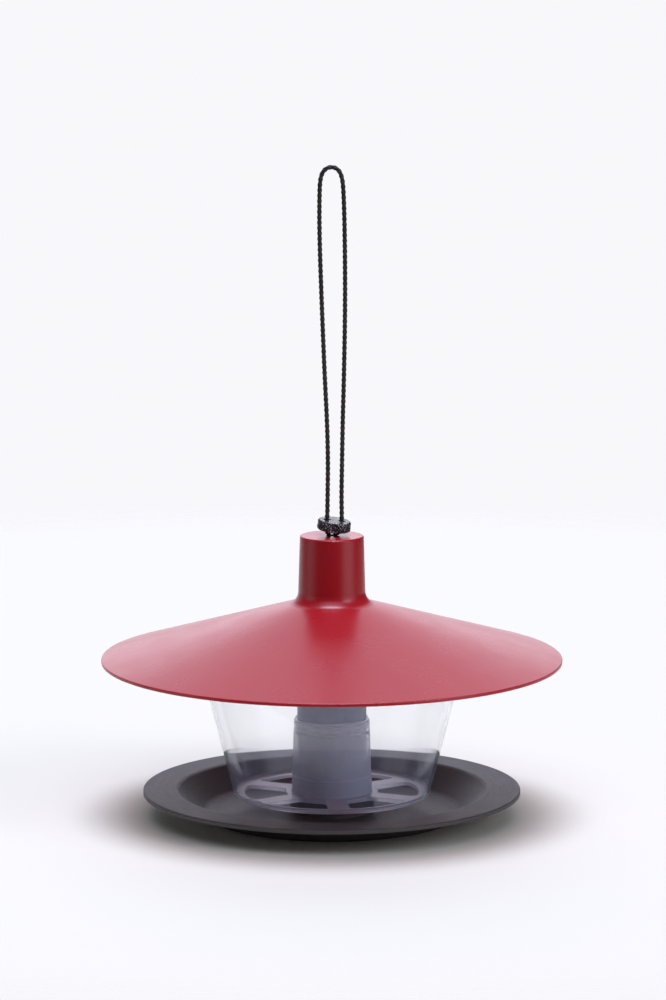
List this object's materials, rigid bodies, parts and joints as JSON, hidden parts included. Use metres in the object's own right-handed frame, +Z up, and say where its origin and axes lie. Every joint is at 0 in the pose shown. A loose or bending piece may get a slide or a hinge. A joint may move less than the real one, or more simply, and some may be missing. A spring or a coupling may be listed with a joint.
{
  "type": "hanging bird feeder",
  "caption": "Hanging seed feeder: round tray, clear sloped hopper round a hollow column, wide conical roof, and a cord loop with a stopper.",
  "frame": {"origin": "on the surface that the feeder stands on, under the middle of the tray", "axes": "+Z up along the column, -Y the front, +X to the right seen from the front"},
  "size_m": [0.285, 0.285, 0.4044],
  "materials": {
    "dark_plastic": "matte, with a fine moulded texture",
    "grey_plastic": "matte, blue-grey, seen through the clear hopper",
    "clear_plastic": "clear, polished, slightly milky",
    "red_plastic": "matte, slightly satin",
    "black_braid": "braided synthetic cord",
    "black_gloss_plastic": "glossy, knurled edge"
  },
  "bodies": {
    "base": {"tray": "dark_plastic", "centre_column": "grey_plastic", "hanging_cord": "black_braid", "cord_knot": "black_braid"},
    "hopper": {"seed_hopper": "clear_plastic"},
    "roof": {"roof": "red_plastic"},
    "stopper": {"cord_stopper": "black_gloss_plastic"}
  },
  "joints": [
    {"name": "hopper_lift", "type": "slide", "parent": "base", "child": "hopper", "axis": [0, 0, 1], "range_m": [0, 0.04], "deforming": ["hanging_cord"]},
    {"name": "roof_lift", "type": "slide", "parent": "hopper", "child": "roof", "axis": [0, 0, 1], "range_m": [0, 0.075], "deforming": ["hanging_cord"]},
    {"name": "stopper_slide", "type": "slide", "parent": "roof", "child": "stopper", "axis": [0, 0, 1], "range_m": [0, 0.06], "deforming": ["hanging_cord"]}
  ]
}
